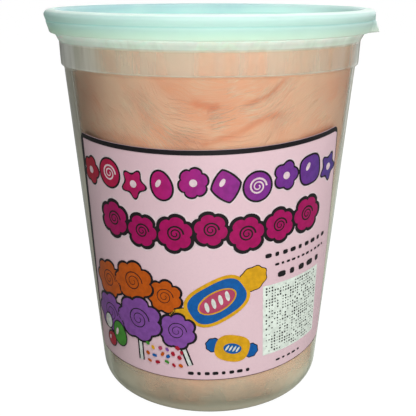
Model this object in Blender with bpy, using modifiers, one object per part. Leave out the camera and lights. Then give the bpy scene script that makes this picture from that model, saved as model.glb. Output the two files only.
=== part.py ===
# A quart-size round tub packed full of pink cotton candy, with its snap lid and wrap label.
# Metres, +Z up. The tub stands on z = 0 with its axis on Z. The label faces -Y and the
# lid's peel tab points to +X. Angles round the tub are measured from -Y towards +X.
import math

import bmesh
import bpy
from mathutils import Vector, noise

MM = 0.001
OBJECT_NAME = "cotton_candy_tub"

# Heights and radii that drive the whole pack
TOTAL_HEIGHT = 146.0 * MM
BEAD_RADIUS = 60.0 * MM

# Tub: one thin moulded shell
WALL = 0.7 * MM
FOOT_INNER = 27.0 * MM
HEEL_RADIUS = 11.0 * MM
BASE_WALL_RADIUS = 43.0 * MM
SHOULDER_RADIUS = 53.5 * MM
SHOULDER_Z = 126.4 * MM
PUSH_UP = 1.0 * MM
STEP_OUT = 1.1 * MM
STEP_RISE = 1.3 * MM
BAND_TOP_RADIUS = 54.9 * MM
BAND_TOP_Z = 134.9 * MM
FLANGE_RADIUS = 56.2 * MM
FLANGE_Z = 137.3 * MM
RIM_TOP_Z = 144.6 * MM
RIM_LIP = 1.1 * MM
TUB_STEPS = 64

# Lid: bead over the rim, sloping skirt, sunk panel that the next tub stacks in
LID_WALL = 0.8 * MM
SKIRT_FOOT_RADIUS = 58.4 * MM
SKIRT_FOOT_Z = 137.6 * MM
BEAD_CORNER = 2.6 * MM
GROOVE_Z = 142.2 * MM
GROOVE_DEPTH = 0.25 * MM
RECESS_RADIUS = 55.0 * MM
RECESS_CORNER = 1.4 * MM
PANEL_Z = 141.0 * MM
TAB_FLARE = 3.5 * MM
TAB_FLAT_DEG = 9.0
TAB_END_DEG = 19.0
LID_STEPS = 72

# Cotton candy: pressed into the tub, drawn off the wall at both sides
CANDY_GAP = 0.45 * MM
SIDE_GAP = 1.9 * MM
LUMP_DEPTH = 0.9 * MM
LUMP_SIZE = 16.0 * MM
CANDY_FLOOR_GAP = 0.6 * MM
CANDY_TOP_Z = 139.2 * MM
TOP_LUMP_DEPTH = 2.2 * MM
CANDY_TOP_CORNER = 6.0 * MM
CANDY_STEPS = 48

# Label: a straight-edged rectangle wrapped round the tapered wall
LABEL_WIDTH = 109.9 * MM
LABEL_HEIGHT = 86.0 * MM
LABEL_MIDDLE_Z = 60.7 * MM
LABEL_CORNER = 3.0 * MM
LABEL_TILT_DEG = 1.5
LABEL_TURN_DEG = 0.7
LABEL_GAP = 0.35 * MM
LABEL_THICK = 0.3 * MM
LABEL_COLUMNS = 22
LABEL_ROWS = 4
CORNER_COLUMNS = 4

MERGE = 0.00001


def clear_scene():
    for obj in list(bpy.data.objects):
        bpy.data.objects.remove(obj, do_unlink=True)


def make_collection():
    collection = bpy.data.collections.new(OBJECT_NAME)
    bpy.context.scene.collection.children.link(collection)
    return collection


def make_material(name, color, roughness):
    material = bpy.data.materials.new(name)
    material.use_nodes = True
    shader = material.node_tree.nodes["Principled BSDF"]
    shader.inputs["Base Color"].default_value = (*color, 1.0)
    shader.inputs["Roughness"].default_value = roughness
    shader.inputs["Metallic"].default_value = 0.0
    return material


def smoothstep(value):
    t = min(max(value, 0.0), 1.0)
    return t * t * (3.0 - 2.0 * t)


def arc(center_r, center_z, radius, start_deg, end_deg, steps):
    # Points of a round corner, angles counted from the outward direction, up positive
    points = []
    for i in range(steps + 1):
        angle = math.radians(start_deg + (end_deg - start_deg) * i / steps)
        points.append((center_r + radius * math.cos(angle), center_z + radius * math.sin(angle)))
    return points


def turned(name, profile, steps, collection, material):
    # Turn a closed (radius, height) outline round Z
    mesh = bpy.data.meshes.new(name)
    points = [(r, 0.0, z) for r, z in profile]
    edges = [(i, i + 1) for i in range(len(points) - 1)]
    mesh.from_pydata(points, edges, [])
    obj = bpy.data.objects.new(name, mesh)
    collection.objects.link(obj)
    screw = obj.modifiers.new("Turn", "SCREW")
    screw.axis = "Z"
    screw.angle = math.tau
    screw.steps = steps
    screw.render_steps = steps
    screw.use_merge_vertices = True
    screw.merge_threshold = MERGE
    screw.use_smooth_shade = True
    mesh.materials.append(material)
    return obj


def made_mesh(obj):
    # Replace the object's outline and modifiers by the finished mesh
    depsgraph = bpy.context.evaluated_depsgraph_get()
    finished = bpy.data.meshes.new_from_object(obj.evaluated_get(depsgraph))
    obj.modifiers.clear()
    obj.data = finished
    finished.set_sharp_from_angle(angle=math.radians(35.0))
    return finished


def around(point):
    # Angle from -Y towards +X
    return math.atan2(point.x, -point.y)


# The wall is a cone: its half angle and the slant distance from its apex
TAPER = math.atan2(SHOULDER_RADIUS - BASE_WALL_RADIUS, SHOULDER_Z - HEEL_RADIUS)


def wall_radius(z):
    return BASE_WALL_RADIUS + (z - HEEL_RADIUS) * math.tan(TAPER)


def tub_profile():
    taper_deg = math.degrees(TAPER)
    heel_end_z = HEEL_RADIUS * (1.0 - math.sin(TAPER))
    foot_outer = wall_radius(heel_end_z) - HEEL_RADIUS * math.cos(TAPER)
    inner_heel = arc(foot_outer, HEEL_RADIUS, HEEL_RADIUS - WALL, -90.0, -taper_deg, 4)
    outer_heel = arc(foot_outer, HEEL_RADIUS, HEEL_RADIUS, -taper_deg, -90.0, 6)
    step_z = SHOULDER_Z + STEP_RISE
    step_radius = SHOULDER_RADIUS + STEP_OUT
    lip_radius = FLANGE_RADIUS + 0.5 * MM + RIM_LIP
    inside = [
        (0.0, PUSH_UP + WALL),
        (FOOT_INNER - WALL, PUSH_UP + WALL),
        *inner_heel,
        (SHOULDER_RADIUS - WALL, SHOULDER_Z + 0.2 * MM),
        (step_radius - WALL, step_z + 0.3 * MM),
        (BAND_TOP_RADIUS - WALL, BAND_TOP_Z + 0.2 * MM),
        (FLANGE_RADIUS - WALL, FLANGE_Z + 0.4 * MM),
        (FLANGE_RADIUS - 0.3 * MM, RIM_TOP_Z - 0.4 * MM),
    ]
    outside = [
        (FLANGE_RADIUS + 0.1 * MM, RIM_TOP_Z),
        (lip_radius - 0.4 * MM, RIM_TOP_Z),
        (lip_radius, RIM_TOP_Z - 0.4 * MM),
        (lip_radius, RIM_TOP_Z - 1.2 * MM),
        (FLANGE_RADIUS + 0.45 * MM, RIM_TOP_Z - 1.9 * MM),
        (FLANGE_RADIUS, FLANGE_Z),
        (BAND_TOP_RADIUS, BAND_TOP_Z),
        (step_radius, step_z),
        (SHOULDER_RADIUS, SHOULDER_Z),
        *outer_heel,
        (FOOT_INNER + PUSH_UP, 0.0),
        (FOOT_INNER, PUSH_UP),
        (0.0, PUSH_UP),
    ]
    return inside + outside


def lid_profile():
    bead_z = TOTAL_HEIGHT - BEAD_CORNER
    crest_radius = BEAD_RADIUS - BEAD_CORNER
    inner_corner = BEAD_CORNER - LID_WALL
    slope = (BEAD_RADIUS - SKIRT_FOOT_RADIUS) / (bead_z - SKIRT_FOOT_Z - 1.2 * MM)
    groove_radius = SKIRT_FOOT_RADIUS + slope * (GROOVE_Z - SKIRT_FOOT_Z - 1.2 * MM)
    crest_inner = RECESS_RADIUS + RECESS_CORNER
    top = [
        (0.0, PANEL_Z),
        (RECESS_RADIUS - RECESS_CORNER, PANEL_Z),
        (RECESS_RADIUS, PANEL_Z + RECESS_CORNER),
        *arc(crest_inner, TOTAL_HEIGHT - RECESS_CORNER, RECESS_CORNER, 180.0, 90.0, 2),
        *arc(crest_radius, bead_z, BEAD_CORNER, 90.0, 0.0, 4),
        (groove_radius + 0.1 * MM, GROOVE_Z + 0.3 * MM),
        (groove_radius - GROOVE_DEPTH, GROOVE_Z),
        (groove_radius - 0.1 * MM, GROOVE_Z - 0.3 * MM),
        (SKIRT_FOOT_RADIUS, SKIRT_FOOT_Z + 1.2 * MM),
        (SKIRT_FOOT_RADIUS - 0.4 * MM, SKIRT_FOOT_Z + 0.4 * MM),
    ]
    underside = [
        (SKIRT_FOOT_RADIUS - 1.1 * MM, SKIRT_FOOT_Z),
        (SKIRT_FOOT_RADIUS - 1.6 * MM, SKIRT_FOOT_Z + 0.2 * MM),
        (SKIRT_FOOT_RADIUS - LID_WALL, SKIRT_FOOT_Z + 1.6 * MM),
        *arc(crest_radius, bead_z, inner_corner, 0.0, 90.0, 2),
        (RECESS_RADIUS + LID_WALL + 0.5 * MM, TOTAL_HEIGHT - LID_WALL),
        (RECESS_RADIUS + LID_WALL, TOTAL_HEIGHT - LID_WALL - 0.6 * MM),
        (RECESS_RADIUS + LID_WALL - 0.2 * MM, PANEL_Z + 0.5 * MM),
        (RECESS_RADIUS - RECESS_CORNER + 0.5 * MM, PANEL_Z - LID_WALL),
        (0.0, PANEL_Z - LID_WALL),
    ]
    return top + underside


def pull_out_tab(mesh):
    # The skirt below the groove swings outwards over a short stretch, as a peel tab
    for vertex in mesh.vertices:
        off_axis = abs(math.degrees(math.atan2(vertex.co.y, vertex.co.x)))
        across = smoothstep((TAB_END_DEG - off_axis) / (TAB_END_DEG - TAB_FLAT_DEG))
        radius = math.hypot(vertex.co.x, vertex.co.y)
        if across == 0.0 or radius < RECESS_RADIUS + LID_WALL + 0.6 * MM:
            continue
        down = (GROOVE_Z + 1.0 * MM - vertex.co.z) / (GROOVE_Z - SKIRT_FOOT_Z)
        shift = TAB_FLARE * across * min(max(down, 0.0), 1.0) ** 1.3
        vertex.co.x *= (radius + shift) / radius
        vertex.co.y *= (radius + shift) / radius


def candy_profile():
    taper_deg = math.degrees(TAPER)
    heel = HEEL_RADIUS - WALL - CANDY_GAP
    heel_end_z = HEEL_RADIUS * (1.0 - math.sin(TAPER))
    foot_outer = wall_radius(heel_end_z) - HEEL_RADIUS * math.cos(TAPER)
    floor_z = PUSH_UP + WALL + CANDY_FLOOR_GAP
    inset = (WALL + CANDY_GAP) / math.cos(TAPER)
    # The heel's arc starts where it reaches the candy's flat underside
    heel_start_deg = -math.degrees(math.asin((HEEL_RADIUS - floor_z) / heel))
    side = []
    rows = 9
    for i in range(rows):
        z = SHOULDER_Z - (SHOULDER_Z - HEEL_RADIUS - 6.0 * MM) * i / (rows - 1)
        side.append((wall_radius(z) - inset, z))
    top_radius = side[0][0]
    top = [(0.0, CANDY_TOP_Z)]
    for share in (0.3, 0.6, 0.82):
        top.append((share * top_radius, CANDY_TOP_Z))
    shoulder = arc(
        top_radius - CANDY_TOP_CORNER, CANDY_TOP_Z - CANDY_TOP_CORNER, CANDY_TOP_CORNER, 80.0, 0.0, 3
    )
    heel_arc = arc(foot_outer, HEEL_RADIUS, heel, -taper_deg, heel_start_deg, 3)
    return [*top, *shoulder, *side, *heel_arc, (0.5 * foot_outer, floor_z), (0.0, floor_z)]


def fold_depth(point):
    # 0 where the candy is pressed to the wall, 1 in the deepest fold; stretched sideways and
    # sheared, because the floss was wound before it was pushed in
    swept = Vector((point.x, point.y, 1.7 * point.z + 0.5 * point.x)) / LUMP_SIZE
    lumps = 0.5 + 0.5 * noise.noise(swept) / 0.7
    fine = 0.5 + 0.5 * noise.noise(swept * 2.3) / 0.7
    return min(max(0.65 * lumps + 0.35 * fine, 0.0), 1.0)


def press_candy(mesh):
    # Folds draw the sides in from the wall and the top down from the lid
    for vertex in mesh.vertices:
        point = vertex.co.copy()
        radius = math.hypot(point.x, point.y)
        if radius < MM:
            vertex.co.z -= TOP_LUMP_DEPTH * 0.5 if point.z > BAND_TOP_Z else 0.0
            continue
        depth = fold_depth(point)
        sideways = math.sin(around(point)) ** 4
        upright = smoothstep((radius - 0.5 * BASE_WALL_RADIUS) / (0.4 * BASE_WALL_RADIUS))
        inward = upright * (LUMP_DEPTH * depth + SIDE_GAP * sideways * (0.6 + 0.4 * depth))
        vertex.co.x *= (radius - inward) / radius
        vertex.co.y *= (radius - inward) / radius
        top_share = smoothstep((point.z - SHOULDER_Z) / (CANDY_TOP_Z - SHOULDER_Z))
        vertex.co.z -= TOP_LUMP_DEPTH * depth * top_share


def label_outline(column, row):
    # Flat label: straight edges with rounded corners, (across, up) from its middle
    half_width = 0.5 * LABEL_WIDTH
    half_height = 0.5 * LABEL_HEIGHT
    straight = half_width - LABEL_CORNER
    if abs(column) <= 1.0:
        across = column * straight
        reach = half_height
    else:
        turn = 0.5 * math.pi * min(abs(column) - 1.0, 1.0)
        across = math.copysign(straight + LABEL_CORNER * math.sin(turn), column)
        reach = half_height - LABEL_CORNER * (1.0 - math.cos(turn))
    return across, row * reach


def wrap_on_wall(across, up, off):
    # Roll the flat label on the cone of the wall, so that its edges stay straight on paper
    tilt = math.radians(LABEL_TILT_DEG)
    right = across * math.cos(tilt) - up * math.sin(tilt)
    rise = across * math.sin(tilt) + up * math.cos(tilt)
    apex_z = HEEL_RADIUS - BASE_WALL_RADIUS / math.tan(TAPER)
    ahead = (LABEL_MIDDLE_Z - apex_z) / math.cos(TAPER) + rise
    slant = math.hypot(right, ahead)
    angle = math.atan2(right, ahead) / math.sin(TAPER) + math.radians(LABEL_TURN_DEG)
    radius = slant * math.sin(TAPER) + off * math.cos(TAPER)
    z = apex_z + slant * math.cos(TAPER) - off * math.sin(TAPER)
    return Vector((radius * math.sin(angle), -radius * math.cos(angle), z))


def make_label(collection, material):
    columns = [-1.0 + 2.0 * i / LABEL_COLUMNS for i in range(LABEL_COLUMNS + 1)]
    corner = [1.0 + i / CORNER_COLUMNS for i in range(1, CORNER_COLUMNS + 1)]
    columns = [-value for value in reversed(corner)] + columns + corner
    shape = bmesh.new()
    bmesh.ops.create_grid(shape, x_segments=len(columns) - 1, y_segments=LABEL_ROWS, size=1.0)
    for vertex in shape.verts:
        index = round((vertex.co.x + 1.0) / 2.0 * (len(columns) - 1))
        across, up = label_outline(columns[index], vertex.co.y)
        vertex.co = wrap_on_wall(across, up, LABEL_GAP)
    bmesh.ops.recalc_face_normals(shape, faces=shape.faces)
    middle = min(shape.faces, key=lambda face: face.calc_center_median().y)
    if middle.normal.y > 0.0:
        bmesh.ops.reverse_faces(shape, faces=shape.faces)
    mesh = bpy.data.meshes.new("label")
    shape.to_mesh(mesh)
    shape.free()
    mesh.shade_smooth()
    mesh.materials.append(material)
    obj = bpy.data.objects.new("label", mesh)
    collection.objects.link(obj)
    paper = obj.modifiers.new("Paper", "SOLIDIFY")
    paper.thickness = LABEL_THICK
    paper.offset = 1.0
    return obj


def make_tub(collection):
    material = make_material("clear_tub", (0.72, 0.74, 0.66), 0.25)
    obj = turned("tub", tub_profile(), TUB_STEPS, collection, material)
    made_mesh(obj)
    return obj


def make_lid(collection):
    material = make_material("mint_lid", (0.50, 0.80, 0.70), 0.35)
    obj = turned("lid", lid_profile(), LID_STEPS, collection, material)
    pull_out_tab(made_mesh(obj))
    return obj


def make_candy(collection):
    material = make_material("pink_floss", (0.80, 0.44, 0.30), 0.9)
    obj = turned("cotton_candy", candy_profile(), CANDY_STEPS, collection, material)
    press_candy(made_mesh(obj))
    return obj


def main():
    clear_scene()
    collection = make_collection()
    stand = bpy.data.objects.new("pack", None)
    collection.objects.link(stand)
    pieces = [
        make_tub(collection),
        make_lid(collection),
        make_candy(collection),
        make_label(collection, make_material("label_paper", (0.60, 0.38, 0.45), 0.4)),
    ]
    for piece in pieces:
        piece.parent = stand


main()
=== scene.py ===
import math
import random

import bpy
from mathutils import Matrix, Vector, noise
from mathutils.bvhtree import BVHTree


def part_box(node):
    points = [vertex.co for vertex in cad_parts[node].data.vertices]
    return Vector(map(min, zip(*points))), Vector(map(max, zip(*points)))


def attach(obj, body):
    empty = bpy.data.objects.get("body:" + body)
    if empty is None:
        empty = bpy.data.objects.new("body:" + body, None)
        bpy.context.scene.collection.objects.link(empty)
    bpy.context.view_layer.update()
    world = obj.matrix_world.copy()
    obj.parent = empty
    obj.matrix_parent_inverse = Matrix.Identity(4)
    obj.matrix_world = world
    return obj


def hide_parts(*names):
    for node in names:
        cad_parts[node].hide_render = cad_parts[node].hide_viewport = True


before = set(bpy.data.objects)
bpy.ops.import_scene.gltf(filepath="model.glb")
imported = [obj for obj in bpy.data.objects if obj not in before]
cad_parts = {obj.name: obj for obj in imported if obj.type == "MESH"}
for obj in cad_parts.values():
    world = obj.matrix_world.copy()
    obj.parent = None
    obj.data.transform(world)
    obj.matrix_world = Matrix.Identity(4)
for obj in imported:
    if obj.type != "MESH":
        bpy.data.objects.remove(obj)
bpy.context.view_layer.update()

mm = 0.001
print("frame loaded:", sorted(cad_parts))


# ---- small helpers for modelling ----

def deselectAll():
    if bpy.context.object and bpy.context.object.mode != "OBJECT":
        bpy.ops.object.mode_set(mode="OBJECT")
    bpy.ops.object.select_all(action="DESELECT")


def makeActive(piece):
    deselectAll()
    piece.select_set(True)
    bpy.context.view_layer.objects.active = piece


def applyModifiers(piece):
    makeActive(piece)
    for modifier in list(piece.modifiers):
        bpy.ops.object.modifier_apply(modifier=modifier.name)


def spinOutline(name, outline, steps):
    # draw the outline (radius, height) point by point from one vertex, then spin it round the axis
    deselectAll()
    bpy.ops.mesh.primitive_plane_add(size=1 * mm)
    piece = bpy.context.object
    piece.name = name
    bpy.ops.object.mode_set(mode="EDIT")
    bpy.ops.mesh.select_mode(type="VERT")
    bpy.ops.mesh.select_all(action="SELECT")
    bpy.ops.mesh.merge(type="CENTER")
    bpy.ops.transform.translate(value=(outline[0][0], 0, outline[0][1]))
    for before, after in zip(outline, outline[1:]):
        move = (after[0] - before[0], 0, after[1] - before[1])
        bpy.ops.mesh.extrude_vertices_move(TRANSFORM_OT_translate={"value": move})
    bpy.ops.mesh.select_all(action="SELECT")
    bpy.ops.mesh.spin(steps=steps, angle=math.tau, center=(0, 0, 0), axis=(0, 0, 1))
    bpy.ops.mesh.select_all(action="SELECT")
    bpy.ops.mesh.remove_doubles(threshold=0.002 * mm)
    bpy.ops.mesh.normals_make_consistent(inside=False)
    bpy.ops.object.mode_set(mode="OBJECT")
    return piece


def roundCorner(centerR, centerZ, radius, startDeg, endDeg, steps):
    points = []
    for i in range(steps + 1):
        turn = math.radians(startDeg + (endDeg - startDeg) * i / steps)
        points.append((centerR + radius * math.cos(turn), centerZ + radius * math.sin(turn)))
    return points


def between(start, end, steps):
    # points on the straight line after start, up to and including end
    return [
        (start[0] + (end[0] - start[0]) * i / steps, start[1] + (end[1] - start[1]) * i / steps)
        for i in range(1, steps + 1)
    ]


def copyPiece(blank, name):
    twin = blank.copy()
    twin.data = blank.data.copy()
    twin.name = name
    bpy.context.scene.collection.objects.link(twin)
    return twin


def joinPieces(pieces, name):
    deselectAll()
    for piece in pieces:
        piece.select_set(True)
    bpy.context.view_layer.objects.active = pieces[0]
    bpy.ops.object.join()
    joined = bpy.context.object
    joined.name = name
    return joined


def smoothstep(value):
    t = min(max(value, 0.0), 1.0)
    return t * t * (3.0 - 2.0 * t)


def shadeSmooth(piece, angleDeg):
    makeActive(piece)
    bpy.ops.object.shade_smooth_by_angle(angle=math.radians(angleDeg))


def finishPiece(piece, material, slotName, *replacedNodes):
    piece.data.materials.clear()
    piece.data.materials.append(material)
    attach(piece, "root")
    if replacedNodes:
        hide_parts(*replacedNodes)


# ---- small helpers for materials ----

def addNode(tree, kind, values=None, **settings):
    node = tree.nodes.new(kind)
    for key, setting in settings.items():
        setattr(node, key, setting)
    for socket, value in (values or {}).items():
        if isinstance(value, bpy.types.NodeSocket):
            tree.links.new(value, node.inputs[socket])
        else:
            node.inputs[socket].default_value = value
    return node


def calc(tree, operation, first, second=0.0, clamp=False):
    node = addNode(tree, "ShaderNodeMath", {0: first, 1: second}, operation=operation, use_clamp=clamp)
    return node.outputs[0]


def remap(tree, value, fromLow, fromHigh, toLow=0.0, toHigh=1.0):
    values = {"Value": value, "From Min": fromLow, "From Max": fromHigh, "To Min": toLow, "To Max": toHigh}
    node = addNode(tree, "ShaderNodeMapRange", values, interpolation_type="SMOOTHSTEP")
    return node.outputs["Result"]


def mixColors(tree, factor, first, second, blendType="MIX"):
    node = addNode(tree, "ShaderNodeMix", data_type="RGBA", blend_type=blendType)
    for index, value in ((0, factor), (6, first), (7, second)):
        if isinstance(value, bpy.types.NodeSocket):
            tree.links.new(value, node.inputs[index])
        elif index == 0:
            node.inputs[index].default_value = value
        else:
            node.inputs[index].default_value = (*value, 1.0)
    return node.outputs[2]


def startMaterial(name):
    material = bpy.data.materials.new(name)
    material.use_nodes = True
    tree = material.node_tree
    shader = tree.nodes["Principled BSDF"]
    coords = addNode(tree, "ShaderNodeTexCoord").outputs["Object"]
    return material, tree, shader, coords


def startGroup(name, inputs, outputs):
    group = bpy.data.node_groups.new(name, "ShaderNodeTree")
    for label, kind, value in inputs:
        socket = group.interface.new_socket(name=label, in_out="INPUT", socket_type=kind)
        if value is not None:
            socket.default_value = value
    for label, kind in outputs:
        group.interface.new_socket(name=label, in_out="OUTPUT", socket_type=kind)
    return group, group.nodes.new("NodeGroupInput"), group.nodes.new("NodeGroupOutput")


def useGroup(tree, group, values):
    node = addNode(tree, "ShaderNodeGroup", node_tree=group)
    for label, value in values.items():
        if isinstance(value, bpy.types.NodeSocket):
            tree.links.new(value, node.inputs[label])
        else:
            node.inputs[label].default_value = value
    return node.outputs


def makeMottleGroup():
    # soft cloudy mask, 0 to 1
    inputs = [("Vector", "NodeSocketVector", None), ("Scale", "NodeSocketFloat", 60.0),
              ("Low", "NodeSocketFloat", 0.35), ("High", "NodeSocketFloat", 0.65)]
    group, start, end = startGroup("softMottle", inputs, [("Mask", "NodeSocketFloat")])
    clouds = addNode(group, "ShaderNodeTexNoise", {
        "Vector": start.outputs["Vector"], "Scale": start.outputs["Scale"], "Detail": 3.0})
    mask = addNode(group, "ShaderNodeMapRange", {
        "Value": clouds.outputs["Fac"], "From Min": start.outputs["Low"],
        "From Max": start.outputs["High"]}, interpolation_type="SMOOTHSTEP")
    group.links.new(mask.outputs["Result"], end.inputs["Mask"])
    return group


def makeGrainGroup():
    # fine moulding or paper grain as a height for a bump
    inputs = [("Vector", "NodeSocketVector", None), ("Scale", "NodeSocketFloat", 1500.0),
              ("Wave", "NodeSocketFloat", 0.3)]
    group, start, end = startGroup("fineGrain", inputs, [("Height", "NodeSocketFloat")])
    fine = addNode(group, "ShaderNodeTexNoise", {
        "Vector": start.outputs["Vector"], "Scale": start.outputs["Scale"], "Detail": 2.0})
    broad = addNode(group, "ShaderNodeTexNoise", {"Vector": start.outputs["Vector"], "Scale": 45.0})
    wave = calc(group, "MULTIPLY", broad.outputs["Fac"], start.outputs["Wave"])
    height = calc(group, "ADD", fine.outputs["Fac"], wave)
    group.links.new(height, end.inputs["Height"])
    return group


def makeStreakGroup():
    # upright streaks in a clear wall: milky streaks, and, mixed in whitish, painted highlight streaks
    inputs = [("Vector", "NodeSocketVector", None), ("Across", "NodeSocketFloat", 150.0),
              ("Upright", "NodeSocketFloat", 12.0)]
    group, start, end = startGroup("uprightStreaks", inputs, [("Mask", "NodeSocketFloat")])
    parts = addNode(group, "ShaderNodeSeparateXYZ", {"Vector": start.outputs["Vector"]}).outputs
    stretched = addNode(group, "ShaderNodeCombineXYZ", {
        "X": calc(group, "MULTIPLY", parts["X"], start.outputs["Across"]),
        "Y": calc(group, "MULTIPLY", parts["Y"], start.outputs["Across"]),
        "Z": calc(group, "MULTIPLY", parts["Z"], start.outputs["Upright"])}).outputs[0]
    streaks = addNode(group, "ShaderNodeTexNoise", {"Vector": stretched, "Scale": 1.0, "Detail": 3.0})
    mask = remap(group, streaks.outputs["Fac"], 0.35, 0.68)
    group.links.new(mask, end.inputs["Mask"])
    return group


softMottle = makeMottleGroup()
fineGrain = makeGrainGroup()
uprightStreaks = makeStreakGroup()


def bumpFrom(tree, height, strength, distance):
    bump = addNode(tree, "ShaderNodeBump", {"Height": height, "Strength": strength, "Distance": distance})
    return bump.outputs["Normal"]


# ---- tub ----

tubLook = {
    "steps": 180,
    "wall": 0.7 * mm,
    "footInner": 27.0 * mm,
    "heel": 11.0 * mm,
    "wallFoot": 43.0 * mm,
    "shoulder": (53.6 * mm, 125.8 * mm),
    "step": (54.7 * mm, 127.1 * mm),
    "bandTop": (55.1 * mm, 134.9 * mm),
    "flange": (56.4 * mm, 137.3 * mm),
    "rimTop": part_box("tub")[1].z,
    "pushUp": 1.0 * mm,
    "milkColor": (0.72, 0.71, 0.54),
    "upperColor": (0.48, 0.47, 0.36),
    "bandColor": (0.62, 0.60, 0.48),
    "bandSide": (0.66, 0.69, 0.58),
    "bandRightShade": (0.44, 0.40, 0.29),
    "streakHighlightColor": (0.95, 0.97, 0.90),
    "flangeLitColor": (0.68, 0.93, 0.79),
    "mintLitColor": (0.76, 1.00, 0.86),
    "footColor": (0.32, 0.27, 0.185),
    "footPatch": (0.27, 0.28, 0.21),
    "footLitSides": (0.70, 0.74, 0.58),
    "heelLitColor": (0.60, 0.56, 0.42),
    "rimHighlightColor": (0.86, 1.00, 0.88),
    "milk": 0.03,
    "footMilk": 0.46,
    "bandMilk": 0.20,
    "flangeMilk": 0.50,
    "edgeMilk": 0.90,
}

taper = math.atan2(tubLook["shoulder"][0] - tubLook["wallFoot"], tubLook["shoulder"][1] - tubLook["heel"])


def wallRadius(z):
    return tubLook["wallFoot"] + (z - tubLook["heel"]) * math.tan(taper)


def heelCenter():
    endZ = tubLook["heel"] * (1.0 - math.sin(taper))
    return wallRadius(endZ) - tubLook["heel"] * math.cos(taper)


def tubOutline():
    wall, heel = tubLook["wall"], tubLook["heel"]
    taperDeg = math.degrees(taper)
    centerR = heelCenter()
    shoulderR, shoulderZ = tubLook["shoulder"]
    stepR, stepZ = tubLook["step"]
    bandR, bandZ = tubLook["bandTop"]
    flangeR, flangeZ = tubLook["flange"]
    rimTop, lipR = tubLook["rimTop"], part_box("tub")[1].x
    inside = [
        (0.0, tubLook["pushUp"] + wall),
        (tubLook["footInner"] - wall, tubLook["pushUp"] + wall),
        *roundCorner(centerR, heel, heel - wall, -90.0, -taperDeg, 12),
        (shoulderR - wall, shoulderZ + 0.1 * mm),
        (shoulderR - wall + 0.15 * mm, shoulderZ + 0.4 * mm),
        (stepR - wall, stepZ + 0.3 * mm),
        (bandR - wall, bandZ + 0.1 * mm),
        (bandR - wall + 0.15 * mm, bandZ + 0.4 * mm),
        (flangeR - wall, flangeZ + 0.4 * mm),
        (flangeR - 0.3 * mm, rimTop - 0.4 * mm),
    ]
    outside = [
        *roundCorner(lipR - 0.4 * mm, rimTop - 0.4 * mm, 0.4 * mm, 90.0, 0.0, 4),
        (lipR, rimTop - 1.2 * mm),
        (flangeR + 0.45 * mm, rimTop - 1.9 * mm),
        (flangeR + 0.1 * mm, flangeZ + 0.3 * mm),
        (flangeR - 0.1 * mm, flangeZ - 0.1 * mm),
        (bandR + 0.15 * mm, bandZ + 0.3 * mm),
        (bandR, bandZ - 0.1 * mm),
        (stepR, stepZ),
        (stepR - 0.12 * mm, stepZ - 0.35 * mm),
        (shoulderR + 0.12 * mm, shoulderZ + 0.15 * mm),
        (shoulderR, shoulderZ - 0.1 * mm),
        *roundCorner(centerR, heel, heel, -taperDeg, -90.0, 16),
        (tubLook["footInner"] + tubLook["pushUp"], 0.0),
        (tubLook["footInner"], tubLook["pushUp"]),
        (0.0, tubLook["pushUp"]),
    ]
    return inside + outside


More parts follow.
